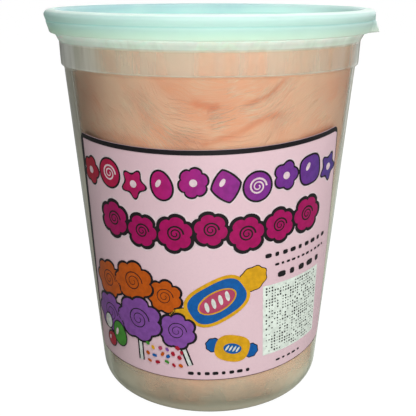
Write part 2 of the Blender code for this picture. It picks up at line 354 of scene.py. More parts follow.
def makeTubMaterial():
    material, tree, shader, coords = startMaterial("milkyClearPlastic")
    parts = addNode(tree, "ShaderNodeSeparateXYZ", {"Vector": coords}).outputs
    height = parts["Z"]
    band = remap(tree, height, tubLook["step"][1] - 0.45 * mm, tubLook["step"][1] - 0.15 * mm)
    flange = remap(tree, height, tubLook["bandTop"][1] - 0.2 * mm, tubLook["bandTop"][1] + 0.5 * mm)
    mint = remap(tree, height, tubLook["flange"][1] - 0.9 * mm, tubLook["flange"][1] - 0.3 * mm)
    foot = remap(tree, height, 8.0 * mm, 26.0 * mm, 1.0, 0.0)
    heel = remap(tree, height, 2.5 * mm, 9.0 * mm, 0.8, 0.0)
    streaks = useGroup(tree, uprightStreaks, {"Vector": coords})["Mask"]
    mottle = useGroup(tree, softMottle, {"Vector": coords, "Scale": 70.0})["Mask"]
    # milkiness by height: clear wall, frosted band, whiter flange, thicker foot
    milk = remap(tree, band, 0.0, 1.0, tubLook["milk"], tubLook["bandMilk"])
    milk = calc(tree, "ADD", milk, calc(tree, "MULTIPLY", flange, tubLook["flangeMilk"]))
    patches = useGroup(tree, softMottle, {"Vector": coords, "Scale": 110.0})["Mask"]
    cloudy = calc(tree, "ADD", calc(tree, "MULTIPLY", patches, 0.16), tubLook["footMilk"])
    milk = calc(tree, "ADD", milk, calc(tree, "MULTIPLY", foot, cloudy))
    milk = calc(tree, "ADD", milk, heel)
    milk = calc(tree, "ADD", milk, calc(tree, "MULTIPLY", calc(tree, "MULTIPLY", streaks, band), 0.24))
    milk = calc(tree, "ADD", milk, calc(tree, "MULTIPLY", mottle, 0.02))
    # painted highlight lines: more milk in a pale line where the wall steps out, and one under the flange
    for line, strength in ((tubLook["step"][1] - 0.05 * mm, 0.18), (tubLook["bandTop"][1] - 0.15 * mm, 0.35)):
        away = calc(tree, "ABSOLUTE", calc(tree, "SUBTRACT", height, line))
        milk = calc(tree, "ADD", milk, remap(tree, away, 0.10 * mm, 0.40 * mm, strength, 0.0))
    # seen edge on, the wall is milky, and wider so where the floss stands off it
    facing = addNode(tree, "ShaderNodeLayerWeight", {"Blend": 0.5}).outputs["Facing"]
    left = remap(tree, parts["X"], -38.0 * mm, -22.0 * mm, 1.0, 0.0)
    lower = remap(tree, height, 80.0 * mm, 105.0 * mm, 0.06, 0.0)
    lower = calc(tree, "MULTIPLY", lower, remap(tree, height, 14.0 * mm, 26.0 * mm))
    loose = calc(tree, "ADD", calc(tree, "MULTIPLY", left, 0.12), lower)
    edge = remap(tree, calc(tree, "ADD", facing, loose), 0.80, 0.93, 0.0, tubLook["edgeMilk"])
    seen = calc(tree, "ADD", milk, edge)
    bandSide = calc(tree, "MULTIPLY", remap(tree, facing, 0.25, 0.70), band)
    sideMilk = remap(tree, left, 0.0, 1.0, 0.05, 0.45)
    seen = calc(tree, "ADD", seen, calc(tree, "MULTIPLY", bandSide, sideMilk))
    # light gets through the thin wall, less so at a slant
    shade = calc(tree, "ADD", calc(tree, "MULTIPLY", milk, 0.15), remap(tree, facing, 0.32, 0.72, 0.0, 0.68))
    isShadow = addNode(tree, "ShaderNodeLightPath").outputs["Is Shadow Ray"]
    alpha = addNode(tree, "ShaderNodeMix", {0: isShadow, 2: seen, 3: shade}, data_type="FLOAT").outputs[0]
    tree.links.new(calc(tree, "MULTIPLY", alpha, 1.0, clamp=True), shader.inputs["Alpha"])
    upper = remap(tree, height, 85.0 * mm, 105.0 * mm)
    color = mixColors(tree, upper, tubLook["milkColor"], tubLook["upperColor"])
    color = mixColors(tree, band, color, tubLook["bandColor"])
    color = mixColors(tree, bandSide, color, tubLook["bandSide"])
    # painted shade: the band darker towards the right side
    right = calc(tree, "MULTIPLY", remap(tree, parts["X"], 18.0 * mm, 46.0 * mm), band)
    color = mixColors(tree, calc(tree, "MULTIPLY", right, 0.8), color, tubLook["bandRightShade"])
    # painted highlight streaks: whitish where the band turns from the eye
    color = mixColors(tree, calc(tree, "MULTIPLY", streaks, bandSide), color, tubLook["streakHighlightColor"])
    # the flange and the strip under the lid: the plastic's own mint, lightened as painted light where the lid shades
    # them
    color = mixColors(tree, flange, color, tubLook["flangeLitColor"])
    color = mixColors(tree, mint, color, tubLook["mintLitColor"])
    # the frosted foot: darker across the front and back as painted shade from below, paler towards the sides as
    # painted light; the darker patches are the plastic's own mottling
    pale = remap(tree, calc(tree, "ABSOLUTE", parts["X"]), 13.0 * mm, 40.0 * mm)
    footColor = mixColors(tree, pale, tubLook["footColor"], tubLook["footLitSides"])
    footColor = mixColors(tree, calc(tree, "MULTIPLY", mottle, remap(tree, pale, 0.0, 1.0, 0.9, 0.0)), footColor, tubLook["footPatch"])
    color = mixColors(tree, foot, color, footColor)
    # painted light: the heel's downward curve made pale against its shade
    color = mixColors(tree, calc(tree, "MULTIPLY", heel, 1.3, clamp=True), color, tubLook["heelLitColor"])
    # painted rim highlight: near white where the wall is seen edge on, weaker towards the top
    rimHighlight = calc(tree, "MULTIPLY", remap(tree, facing, 0.86, 0.95), remap(tree, upper, 0.0, 1.0, 1.0, 0.4))
    color = mixColors(tree, rimHighlight, color, tubLook["rimHighlightColor"])
    tree.links.new(color, shader.inputs["Base Color"])
    roughness = remap(tree, mottle, 0.0, 1.0, 0.18, 0.26)
    tree.links.new(roughness, shader.inputs["Roughness"])
    # the thick flange glows with the light inside the tub
    tree.links.new(calc(tree, "MULTIPLY", flange, 0.8), shader.inputs["Subsurface Weight"])
    shader.inputs["Subsurface Radius"].default_value = (0.5, 1.0, 0.85)
    shader.inputs["Subsurface Scale"].default_value = 6.0 * mm
    grain = useGroup(tree, fineGrain, {"Vector": coords, "Scale": 260.0, "Wave": 1.5})["Height"]
    tree.links.new(bumpFrom(tree, grain, 0.04, 0.10 * mm), shader.inputs["Normal"])
    return material


def makeTub():
    tub = spinOutline("tubShell", tubOutline(), tubLook["steps"])
    shadeSmooth(tub, 50)
    finishPiece(tub, makeTubMaterial(), "tub", "tub")
    return tub


# ---- lid ----

lidLook = {
    "steps": 216,
    "wall": 0.8 * mm,
    "beadRadius": 60.0 * mm,
    "beadCorner": 1.9 * mm,
    "top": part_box("lid")[1].z - 0.02 * mm,
    "skirtFoot": (58.4 * mm, 138.0 * mm),
    "grooveZ": 142.2 * mm,
    "grooveDepth": 0.10 * mm,
    "recess": 55.0 * mm,
    "recessCorner": 1.4 * mm,
    "panelZ": 141.0 * mm,
    "ringRadius": 44.5 * mm,
    "ringHeight": 0.35 * mm,
    "tabFlare": 3.54 * mm,
    "tabFlatDeg": 9.0,
    "tabEndDeg": 19.0,
    "color": (0.41, 0.58, 0.56),
    "lowColor": (0.53, 0.69, 0.54),
    "crestHighlightColor": (0.76, 1.00, 0.88),
    "panelColor": (0.32, 0.46, 0.51),
    "panelLitRight": (0.58, 0.78, 0.78),
    "paleColor": (0.52, 0.69, 0.63),
    "grooveShadeColor": (0.25, 0.46, 0.47),
}


def lidOutline():
    wall, corner = lidLook["wall"], lidLook["beadCorner"]
    top, bead = lidLook["top"], lidLook["beadRadius"]
    footR, footZ = lidLook["skirtFoot"]
    beadZ, crestR = top - corner, bead - corner
    slope = (bead - footR) / (beadZ - footZ - 0.5 * mm)
    groove = lidLook["grooveZ"]
    grooveR = footR + slope * (groove - footZ - 0.5 * mm)
    recess, panelZ = lidLook["recess"], lidLook["panelZ"]
    recessCorner = lidLook["recessCorner"]
    ringR, ringUp = lidLook["ringRadius"], lidLook["ringHeight"]
    floorR = recess - recessCorner
    upper = [
        (0.0, panelZ),
        (ringR - 0.9 * mm, panelZ),
        (ringR - 0.5 * mm, panelZ + 0.7 * ringUp),
        (ringR, panelZ + ringUp),
        (ringR + 0.5 * mm, panelZ + 0.7 * ringUp),
        (ringR + 0.9 * mm, panelZ),
        *roundCorner(floorR, panelZ + recessCorner, recessCorner, -90.0, 0.0, 6),
        *roundCorner(recess + recessCorner, top - recessCorner, recessCorner, 180.0, 90.0, 6),
        *roundCorner(crestR, beadZ, corner, 90.0, 0.0, 12),
        (grooveR + 0.09 * mm, groove + 0.45 * mm),
        (grooveR - lidLook["grooveDepth"], groove + 0.12 * mm),
        (grooveR - lidLook["grooveDepth"], groove - 0.12 * mm),
        (grooveR - 0.05 * mm, groove - 0.45 * mm),
        *between((grooveR - 0.05 * mm, groove - 0.45 * mm), (footR, footZ + 0.5 * mm), 4),
        *roundCorner(footR - 0.5 * mm, footZ + 0.5 * mm, 0.5 * mm, 0.0, -80.0, 4),
    ]
    lower = [
        (footR - 0.6 * mm, footZ),
        (footR - wall, footZ + 0.3 * mm),
        *between((footR - wall, footZ + 1.6 * mm), (grooveR - wall, groove), 3),
        *roundCorner(crestR, beadZ, corner - wall, 0.0, 90.0, 6),
        (recess + wall + 0.5 * mm, top - wall),
        (recess + wall, top - wall - 0.6 * mm),
        (recess + wall - 0.2 * mm, panelZ + 0.5 * mm),
        (floorR + 0.5 * mm, panelZ - wall),
        (0.0, panelZ - wall),
    ]
    return upper + lower


def pullOutTab(lid):
    # the skirt under the groove swings out over a short stretch, as the peel tab
    footZ, flareTop = lidLook["skirtFoot"][1], lidLook["top"] - 2.2 * mm
    keepInside = lidLook["recess"] + lidLook["wall"] + 0.6 * mm
    for vertex in lid.data.vertices:
        offAxis = abs(math.degrees(math.atan2(vertex.co.y, vertex.co.x)))
        share = smoothstep((lidLook["tabEndDeg"] - offAxis) / (lidLook["tabEndDeg"] - lidLook["tabFlatDeg"]))
        radius = math.hypot(vertex.co.x, vertex.co.y)
        if share == 0.0 or radius < keepInside:
            continue
        down = min(max((flareTop - vertex.co.z) / (flareTop - footZ), 0.0), 1.0)
        grow = (radius + lidLook["tabFlare"] * share * down ** 1.25) / radius
        vertex.co.x *= grow
        vertex.co.y *= grow


def makeLidMaterial():
    material, tree, shader, coords = startMaterial("milkyMintPlastic")
    mottle = useGroup(tree, softMottle, {"Vector": coords, "Scale": 55.0})["Mask"]
    parts = addNode(tree, "ShaderNodeSeparateXYZ", {"Vector": coords}).outputs
    height = parts["Z"]
    flat = addNode(tree, "ShaderNodeCombineXYZ", {"X": parts["X"], "Y": parts["Y"]}).outputs[0]
    radius = addNode(tree, "ShaderNodeVectorMath", {0: flat}, operation="LENGTH").outputs["Value"]
    # painted highlight: a bright line along the crest
    crestHighlight = remap(tree, height, lidLook["top"] - 0.9 * mm, lidLook["top"] - 0.2 * mm)
    low = remap(tree, height, lidLook["grooveZ"], lidLook["skirtFoot"][1])
    panel = remap(tree, radius, lidLook["recess"] + 0.9 * mm, lidLook["recess"] + 1.5 * mm, 1.0, 0.0)
    # the lower skirt: greener of its own, and lighter as painted light where it slopes in and away from the lamps
    color = mixColors(tree, low, lidLook["color"], lidLook["lowColor"])
    color = mixColors(tree, crestHighlight, color, lidLook["crestHighlightColor"])
    # painted light: the recessed panel paler towards the right, where it lies in shade
    rightwardLit = remap(tree, parts["X"], 5.0 * mm, 50.0 * mm)
    panelColor = mixColors(tree, rightwardLit, lidLook["panelColor"], lidLook["panelLitRight"])
    color = mixColors(tree, panel, color, panelColor)
    color = mixColors(tree, calc(tree, "MULTIPLY", mottle, 0.25), color, lidLook["paleColor"])
    # painted shade: a darker line along the groove
    aside = calc(tree, "ABSOLUTE", calc(tree, "SUBTRACT", height, lidLook["grooveZ"]))
    groove = remap(tree, aside, 0.12 * mm, 0.38 * mm, 0.60, 0.0)
    color = mixColors(tree, groove, color, lidLook["grooveShadeColor"])
    tree.links.new(color, shader.inputs["Base Color"])
    roughness = calc(tree, "MULTIPLY_ADD", mottle, 0.10)
    roughness.node.inputs[2].default_value = 0.55
    tree.links.new(roughness, shader.inputs["Roughness"])
    shader.inputs["Subsurface Weight"].default_value = 0.8
    shader.inputs["Subsurface Radius"].default_value = (0.8, 1.0, 0.9)
    shader.inputs["Subsurface Scale"].default_value = 7.0 * mm
    shadow = addNode(tree, "ShaderNodeLightPath").outputs["Is Shadow Ray"]
    tree.links.new(remap(tree, shadow, 0.0, 1.0, 1.0, 0.12), shader.inputs["Alpha"])
    grain = useGroup(tree, fineGrain, {"Vector": coords, "Scale": 500.0, "Wave": 1.2})["Height"]
    tree.links.new(bumpFrom(tree, grain, 0.08, 0.10 * mm), shader.inputs["Normal"])
    return material


def makeLid():
    lid = spinOutline("lidShell", lidOutline(), lidLook["steps"])
    pullOutTab(lid)
    shadeSmooth(lid, 35)
    finishPiece(lid, makeLidMaterial(), "lid", "lid")
    return lid


# ---- cotton candy ----

candyLook = {
    "steps": 340,
    "sideRows": 150,
    "gap": -0.1 * mm,
    "leftGap": 2.6 * mm,
    "rightGap": 0.2 * mm,
    "topZ": 139.3 * mm,
    "topCorner": 6.0 * mm,
    "foldDepth": 0.5 * mm,
    "tuftDepth": 0.22 * mm,
    "hairDepth": 0.10 * mm,
    "garland": 33.0 * mm,
    "pale": (0.94, 0.55, 0.35),
    "body": (0.98, 0.48, 0.28),
    "wisp": (0.96, 0.70, 0.47),
    "beige": (0.84, 0.66, 0.47),
    "deep": (0.84, 0.27, 0.12),
    "looseCreases": 34,
}

# pressed creases on the front: the path in mm along the wall and up, width, depth and how rosy
frontCreases = [
    {"path": [(-5.5, 118.4), (-2.0, 117.6), (1.2, 117.2), (3.2, 118.0)], "wide": 1.0, "deep": 0.55, "tint": 0.9},
    {"path": [(-1.0, 117.0), (1.5, 117.1)], "wide": 0.8, "deep": 0.3, "tint": 0.9},
    {"path": [(-8.0, 119.5), (0.0, 115.5), (9.0, 116.0)], "wide": 4.5, "deep": 0.1, "tint": 0.28},
    {"path": [(11.0, 118.0), (15.5, 119.2), (19.0, 120.6), (22.0, 122.8), (25.0, 125.6)],
     "wide": 0.7, "deep": 0.3, "tint": 0.9},
    {"path": [(-2.0, 104.8), (4.0, 107.0), (9.5, 108.6), (13.6, 111.0), (17.7, 113.0), (22.5, 114.2), (25.5, 114.6)],
     "wide": 1.1, "deep": 0.22, "tint": 0.8},
    {"path": [(-9.0, 106.0), (-4.5, 106.9), (0.0, 105.6)], "wide": 2.2, "deep": 0.2, "tint": 0.6},
    {"path": [(-46.0, 105.8), (-30.0, 105.4), (-20.0, 104.6)], "wide": 2.0, "deep": 0.2, "tint": 0.5},
    {"path": [(32.0, 105.0), (43.0, 106.4), (52.0, 107.0)], "wide": 1.6, "deep": 0.2, "tint": 0.7},
]


def combLine(angle, z):
    # the floss hangs in three swags round the tub; a line of equal value follows its combing
    turn = 0.035 + 0.25 * math.sin(z / (22.0 * mm)) * smoothstep((100.0 * mm - z) / (30.0 * mm))
    swag = 0.5 * candyLook["garland"] * (1.0 - math.cos(3.0 * (angle - turn)))
    swag *= 0.45 + 0.55 * smoothstep((z - 20.0 * mm) / (90.0 * mm))
    spot = Vector((math.sin(angle), -math.cos(angle), z / (50.0 * mm)))
    return z - swag + 3.5 * mm * noise.noise(spot * 2.6) + 1.2 * mm * noise.noise(spot * 7.0)


def combPath(angle, z, length, stray, steps):
    # walks along the combing and gives its places as (angle, height)
    path = [(angle, z)]
    for step in range(steps):
        radius = wallRadius(z)
        reach = 0.5 * mm
        sideways = combLine(angle + reach / radius, z) - combLine(angle - reach / radius, z)
        upward = combLine(angle, z + reach) - combLine(angle, z - reach)
        heading = math.atan2(-sideways, upward) + stray * math.sin(2.4 * (step + 1) / steps)
        angle += math.cos(heading) * length / steps / radius
        z = min(max(z + math.sin(heading) * length / steps, 4.0 * mm), 133.0 * mm)
        path.append((angle, z))
    return path


def makeCreases():
    # each crease keeps its path in metres along the wall, with the box that holds it
    creases = []
    for crease in frontCreases:
        creases.append({
            "path": [(along * mm, up * mm) for along, up in crease["path"]],
            "wide": crease["wide"] * mm,
            "deep": crease["deep"] * mm,
            "tint": crease["tint"],
            "ends": 0.35,
        })
    dice = random.Random(3)
    while len(creases) < len(frontCreases) + candyLook["looseCreases"]:
        angle, z = dice.uniform(-math.pi, math.pi), dice.uniform(8.0 * mm, 128.0 * mm)
        if abs(angle) < 1.0 and z > 15.0 * mm:
            continue
        path = combPath(angle, z, dice.uniform(10.0, 30.0) * mm, dice.uniform(-0.3, 0.3), 6)
        creases.append({
            "path": [(a * wallRadius(h), h) for a, h in path],
            "wide": dice.uniform(0.8, 2.4) * mm,
            "deep": dice.uniform(0.12, 0.35) * mm,
            "tint": dice.uniform(0.25, 0.6),
            "ends": 0.0,
        })
    for crease in creases:
        alongs, ups = zip(*crease["path"])
        reach = 2.5 * crease["wide"]
        crease["box"] = (min(alongs) - reach, max(alongs) + reach, min(ups) - reach, max(ups) + reach)
    return creases


creases = makeCreases()


def pathDistance(path, along, up):
    # distance to a path, and how far along it the nearest place is, 0 to 1
    nearest, reached = 1.0, 0.0
    for i, ((x0, z0), (x1, z1)) in enumerate(zip(path, path[1:])):
        dx, dz = x1 - x0, z1 - z0
        share = min(max(((along - x0) * dx + (up - z0) * dz) / (dx * dx + dz * dz), 0.0), 1.0)
        away = math.hypot(along - x0 - share * dx, up - z0 - share * dz)
        if away < nearest:
            nearest, reached = away, (i + share) / (len(path) - 1)
    return nearest, reached


def creaseRelief(along, up):
    depth, deepness = 0.0, 0.0
    for crease in creases:
        left, right, low, high = crease["box"]
        if left < along < right and low < up < high:
            away, reached = pathDistance(crease["path"], along, up)
            fade = smoothstep(4.5 * reached * (1.0 - reached) + crease["ends"])
            press = fade * math.exp(-(away / crease["wide"]) ** 2)
            depth += press * crease["deep"]
            deepness += press * crease["tint"]
    return depth, deepness


def candyRelief(angle, z, radius):
    # how far the surface lies inside its fullest outline, and how deep in a fold it is, 0 to 1
    x, y = radius * math.sin(angle), -radius * math.cos(angle)
    line = combLine(angle, z)
    fold = 0.5 + 0.5 * noise.noise(Vector((x / 26.0, y / 26.0, line / 12.0)) / mm)
    tuft = 0.5 + 0.5 * noise.noise(Vector((x / 13.0, y / 13.0, line / 3.6 + 5.0 * mm)) / mm)
    hair = 0.5 + 0.5 * noise.noise(Vector((x / 7.0, y / 7.0, line / 1.5 + 9.0 * mm)) / mm)
    press, deepness = creaseRelief(radius * angle, z)
    depth = candyLook["foldDepth"] * fold ** 2 + candyLook["tuftDepth"] * tuft
    depth += candyLook["hairDepth"] * hair + press
    deepness += 0.45 * smoothstep((fold - 0.55) / 0.4)
    return depth, min(max(deepness, 0.0), 1.0)


def candyOutline():
    taperDeg = math.degrees(taper)
    wall, heel = tubLook["wall"], tubLook["heel"]
    inner = heel - wall - candyLook["gap"]
    floorZ = tubLook["pushUp"] + wall + 0.4 * mm
    centerR = heelCenter()
    heelStart = -math.degrees(math.asin((heel - floorZ) / inner))
    inset = (wall + candyLook["gap"]) / math.cos(taper)
    topZ, corner = candyLook["topZ"], candyLook["topCorner"]
    sideTop, stepZ = tubLook["shoulder"][1] + 0.2 * mm, tubLook["step"][1] + 0.3 * mm
    topR, stepR = tubLook["bandTop"][0] - inset, tubLook["step"][0] - inset
    crown = topR - corner
    foot = (centerR + inner * math.cos(taper), heel - inner * math.sin(taper))
    outline = [(0.0, topZ), *between((0.0, topZ), (crown, topZ), 26)]
    outline += roundCorner(crown, topZ - corner, corner, 85.0, 0.0, 10)
    outline += between((topR, topZ - corner), (stepR, stepZ), 6)
    outline += between((stepR, stepZ), (wallRadius(sideTop) - inset, sideTop), 2)
    outline += between((wallRadius(sideTop) - inset, sideTop), foot, candyLook["sideRows"])
    outline += roundCorner(centerR, heel, inner, -taperDeg, heelStart, 12)[1:]
    outline += between((outline[-1][0], floorZ), (0.0, floorZ), 14)
    return outline


def pressFloss(body):
    # folds, tufts and hairs pull the surface in from the wall and down from the lid
    depths = body.data.attributes.new("depth", "FLOAT", "POINT")
    lines = body.data.attributes.new("comb", "FLOAT", "POINT")
    topStart, topZ = tubLook["shoulder"][1], candyLook["topZ"]
    values, combs = [], []
    for vertex in body.data.vertices:
        point = vertex.co.copy()
        radius = math.hypot(point.x, point.y)
        angle = math.atan2(point.x, -point.y)
        relief, deepness = candyRelief(angle, point.z, max(radius, 1.0 * mm))
        gap = candyLook["leftGap"] if angle < 0.0 else candyLook["rightGap"]
        gap *= math.sin(angle) ** 4 * smoothstep((point.z - 22.0 * mm) / (50.0 * mm))
        upright = smoothstep((radius - 20.0 * mm) / (18.0 * mm))
        inward = upright * (relief + gap * (0.7 + 0.3 * deepness))
        if radius > 1.0 * mm:
            vertex.co.x *= (radius - inward) / radius
            vertex.co.y *= (radius - inward) / radius
        onTop = smoothstep((point.z - topStart) / (topZ - topStart)) * (1.0 - 0.7 * upright)
        vertex.co.z -= onTop * (0.6 * mm + 1.2 * relief)
        values.append(deepness)
        combs.append((combLine(angle, point.z) if upright > 0.0 else radius) / mm)
    depths.data.foreach_set("value", values)
    lines.data.foreach_set("value", combs)


def makeFibreGroup():
    # two families of fine fibres that run with the combing and cross each other slightly
    inputs = [("Vector", "NodeSocketVector", None), ("Line", "NodeSocketFloat", 0.0)]
    outputs = [("Fibres", "NodeSocketFloat"), ("Wisps", "NodeSocketFloat")]
    group, start, end = startGroup("combedFibres", inputs, outputs)
    vector, line = start.outputs["Vector"], start.outputs["Line"]
    parts = addNode(group, "ShaderNodeSeparateXYZ", {"Vector": vector}).outputs
    families = []
    for wander, fine, along in ((110.0, 2.0, 130.0), (170.0, 2.7, 170.0)):
        drift = addNode(group, "ShaderNodeTexNoise", {"Vector": vector, "Scale": wander, "Detail": 1.0})
        shifted = calc(group, "ADD", line, calc(group, "MULTIPLY", drift.outputs["Fac"], 6.0))
        combed = addNode(group, "ShaderNodeCombineXYZ", {
            "X": calc(group, "MULTIPLY", parts["X"], along),
            "Y": calc(group, "MULTIPLY", parts["Y"], along),
            "Z": calc(group, "MULTIPLY", shifted, fine)}).outputs[0]
        fibre = addNode(group, "ShaderNodeTexNoise", {
            "Vector": combed, "Scale": 1.0, "Detail": 2.5, "Roughness": 0.6})
        families.append(fibre.outputs["Fac"])
    both = calc(group, "MULTIPLY", calc(group, "ADD", families[0], families[1]), 0.5)
    clumps = addNode(group, "ShaderNodeTexNoise", {"Vector": vector, "Scale": 75.0, "Detail": 2.0})
    wisps = calc(group, "MULTIPLY", remap(group, both, 0.48, 0.64), remap(group, clumps.outputs["Fac"], 0.38, 0.62))
    group.links.new(both, end.inputs["Fibres"])
    group.links.new(wisps, end.inputs["Wisps"])
    return group


combedFibres = makeFibreGroup()


def makeCandyMaterial():
    material, tree, shader, coords = startMaterial("spunSugar")
    depth = addNode(tree, "ShaderNodeAttribute", attribute_name="depth").outputs["Fac"]
    line = addNode(tree, "ShaderNodeAttribute", attribute_name="comb").outputs["Fac"]
    fibres = useGroup(tree, combedFibres, {"Vector": coords, "Line": line})
    mottle = useGroup(tree, softMottle, {"Vector": coords, "Scale": 42.0, "Low": 0.40, "High": 0.60})["Mask"]
    base = mixColors(tree, mottle, candyLook["body"], candyLook["pale"])
    shade = remap(tree, fibres["Fibres"], 0.40, 0.60)
    base = mixColors(tree, calc(tree, "MULTIPLY", shade, 0.22), base, candyLook["wisp"])
    base = mixColors(tree, calc(tree, "MULTIPLY", fibres["Wisps"], 0.50), base, candyLook["wisp"])
    across = addNode(tree, "ShaderNodeSeparateXYZ", {"Vector": coords}).outputs["X"]
    base = mixColors(tree, remap(tree, across, -32.0 * mm, -8.0 * mm, 0.45, 0.0), base, candyLook["beige"])
    # deep rosy colour in creases and fold hollows: the denser floss's own tint, and painted shade in the hollows
    color = mixColors(tree, calc(tree, "MULTIPLY", depth, 0.80), base, candyLook["deep"])
    tree.links.new(color, shader.inputs["Base Color"])
    shader.inputs["Roughness"].default_value = 0.85
    shader.inputs["Sheen Weight"].default_value = 0.20
    shader.inputs["Sheen Roughness"].default_value = 0.5
    shader.inputs["Subsurface Weight"].default_value = 0.20
    shader.inputs["Subsurface Radius"].default_value = (1.0, 0.5, 0.35)
    shader.inputs["Subsurface Scale"].default_value = 1.5 * mm
    tree.links.new(bumpFrom(tree, fibres["Fibres"], 0.22, 0.4 * mm), shader.inputs["Normal"])
    return material


def makeStrandMaterial(name, root, tip):
    material, tree, shader, coords = startMaterial(name)
    depth = addNode(tree, "ShaderNodeAttribute", attribute_name="depth").outputs["Fac"]
    mottle = useGroup(tree, softMottle, {"Vector": coords, "Scale": 160.0})["Mask"]
    color = mixColors(tree, mottle, root, tip)
    # the same deep colour where strands lie in creases: partly painted shade
    color = mixColors(tree, calc(tree, "MULTIPLY", depth, 0.5), color, candyLook["deep"])
    tree.links.new(color, shader.inputs["Base Color"])
    shader.inputs["Roughness"].default_value = 0.7
    shader.inputs["Sheen Weight"].default_value = 0.1
    grain = useGroup(tree, fineGrain, {"Vector": coords, "Scale": 2500.0})["Height"]
    tree.links.new(bumpFrom(tree, grain, 0.2, 0.05 * mm), shader.inputs["Normal"])
    return material


def makeBlankTuft(name, hairs, rings):
    # a row of straight hairs side by side, cut into rings so that each can bend
    deselectAll()
    bpy.ops.mesh.primitive_cylinder_add(vertices=3, radius=0.5, depth=1.0, end_fill_type="TRIFAN")
    tuft = bpy.context.object
    tuft.name = name
    bpy.ops.object.mode_set(mode="EDIT")
    for i in range(1, rings):
        bpy.ops.mesh.select_all(action="SELECT")
        bpy.ops.mesh.bisect(plane_co=(0, 0, i / rings - 0.5), plane_no=(0, 0, 1))
    bpy.ops.object.mode_set(mode="OBJECT")
    row = tuft.modifiers.new("Row", "ARRAY")
    row.count = hairs
    row.use_relative_offset = False
    row.use_constant_offset = True
    row.constant_offset_displace = (2.0, 0.0, 0.0)
    applyModifiers(tuft)
    return tuft


def layTuft(blank, ground, path, look, dice):
    # bends a copy of the blank along a path over the ground, each hair a little beside the last
    steps = len(path) - 1
    tuft = copyPiece(blank, "tuft")
    hairs = [
        {
            "aside": (i - 0.5 * look["hairs"]) * look["pitch"] * dice.uniform(0.7, 1.3),
            "start": dice.uniform(0.0, 0.35),
            "end": dice.uniform(0.65, 1.0),
            "lift": dice.uniform(*look["lift"]),
            "sway": dice.uniform(-0.6, 0.6) * mm,
            "thick": look["thick"] * dice.uniform(0.6, 1.3),
        }
        for i in range(look["hairs"])
    ]
    depths = tuft.data.attributes.new("depth", "FLOAT", "POINT")
    grounds, values = {}, []
    for vertex in tuft.data.vertices:
        number = min(int((vertex.co.x + 1.0) / 2.0), look["hairs"] - 1)
        hair = hairs[number]
        along = vertex.co.z + 0.5
        key = (number, round(along * steps * 2))
        if key not in grounds:
            share = (hair["start"] + (hair["end"] - hair["start"]) * along) * steps
            index = min(int(share), steps - 1)
            part = share - index
            angle = path[index][0] + (path[index + 1][0] - path[index][0]) * part
            z = path[index][1] + (path[index + 1][1] - path[index][1]) * part
            run = (path[index + 1][0] - path[index][0]) * wallRadius(z)
            rise = path[index + 1][1] - path[index][1]
            size = max(math.hypot(run, rise), 0.01 * mm)
            aside = hair["aside"] + hair["sway"] * math.sin(3.0 * along)
            angle -= rise / size * aside / wallRadius(z)
            z = min(max(z + run / size * aside, 3.5 * mm), 134.0 * mm)
            outward = Vector((math.sin(angle), -math.cos(angle), 0.0))
            begin = outward * 0.08 + Vector((0, 0, z))
            place, _, face, _ = ground["surface"].ray_cast(begin, -outward, 0.06)
            radius = math.hypot(place.x, place.y)
            deepness = ground["depths"][face]
            ceiling = insideRadius(z) - 0.12 * mm
            grounds[key] = (angle, z, min(radius + hair["lift"], ceiling), run / size, rise / size, deepness)
        angle, z, radius, run, rise, deepness = grounds[key]
        thin = hair["thick"] * (1.0 - abs(2.0 * along - 1.0) ** 3)
        x, y = (vertex.co.x - 2.0 * number) * thin, 0.45 * vertex.co.y * thin
        radius += y
        angle -= rise * x / radius
        z += run * x
        vertex.co = (radius * math.sin(angle), -radius * math.cos(angle), z)
        values.append(deepness)
    depths.data.foreach_set("value", values)
    return tuft


def insideRadius(z):
    # the tub's inner radius at a height, following the heel and the taper
    heel, wall = tubLook["heel"], tubLook["wall"]
    if z < heel:
        return heelCenter() + math.sqrt(max((heel - wall) ** 2 - (heel - z) ** 2, 0.0))
    return wallRadius(min(z, tubLook["shoulder"][1])) - wall / math.cos(taper)


tuftKinds = {
    "paleWisps": {
        "tufts": 200, "hairs": 13, "rings": 9, "pitch": 0.42 * mm, "thick": 0.14 * mm, "lift": (-0.03 * mm, 0.14 * mm),
        "length": (6.0 * mm, 14.0 * mm), "stray": 0.35, "root": (0.96, 0.65, 0.44), "tip": (0.99, 0.77, 0.55),
        "seed": 7,
        # places on the front where wisps gather, in mm along the wall and up
        "gather": [(-27.0, 123.0), (-23.0, 121.0), (-19.0, 118.5), (-30.0, 119.0), (-35.0, 114.0), (-31.0, 111.0),
                   (-14.0, 110.5), (-10.0, 108.0), (6.0, 122.0), (9.5, 124.5), (13.0, 114.0), (18.0, 116.5),
                   (21.0, 118.5), (27.0, 122.0), (24.0, 109.0), (-22.0, 112.0), (2.0, 113.0)],
    },
    "rosyHairs": {
        "tufts": 200, "hairs": 12, "rings": 8, "pitch": 0.65 * mm, "thick": 0.12 * mm, "lift": (-0.04 * mm, 0.10 * mm),
        "length": (8.0 * mm, 18.0 * mm), "stray": 0.6, "root": (0.95, 0.49, 0.31), "tip": (0.98, 0.62, 0.41),
        "seed": 21, "gather": [],
    },
}


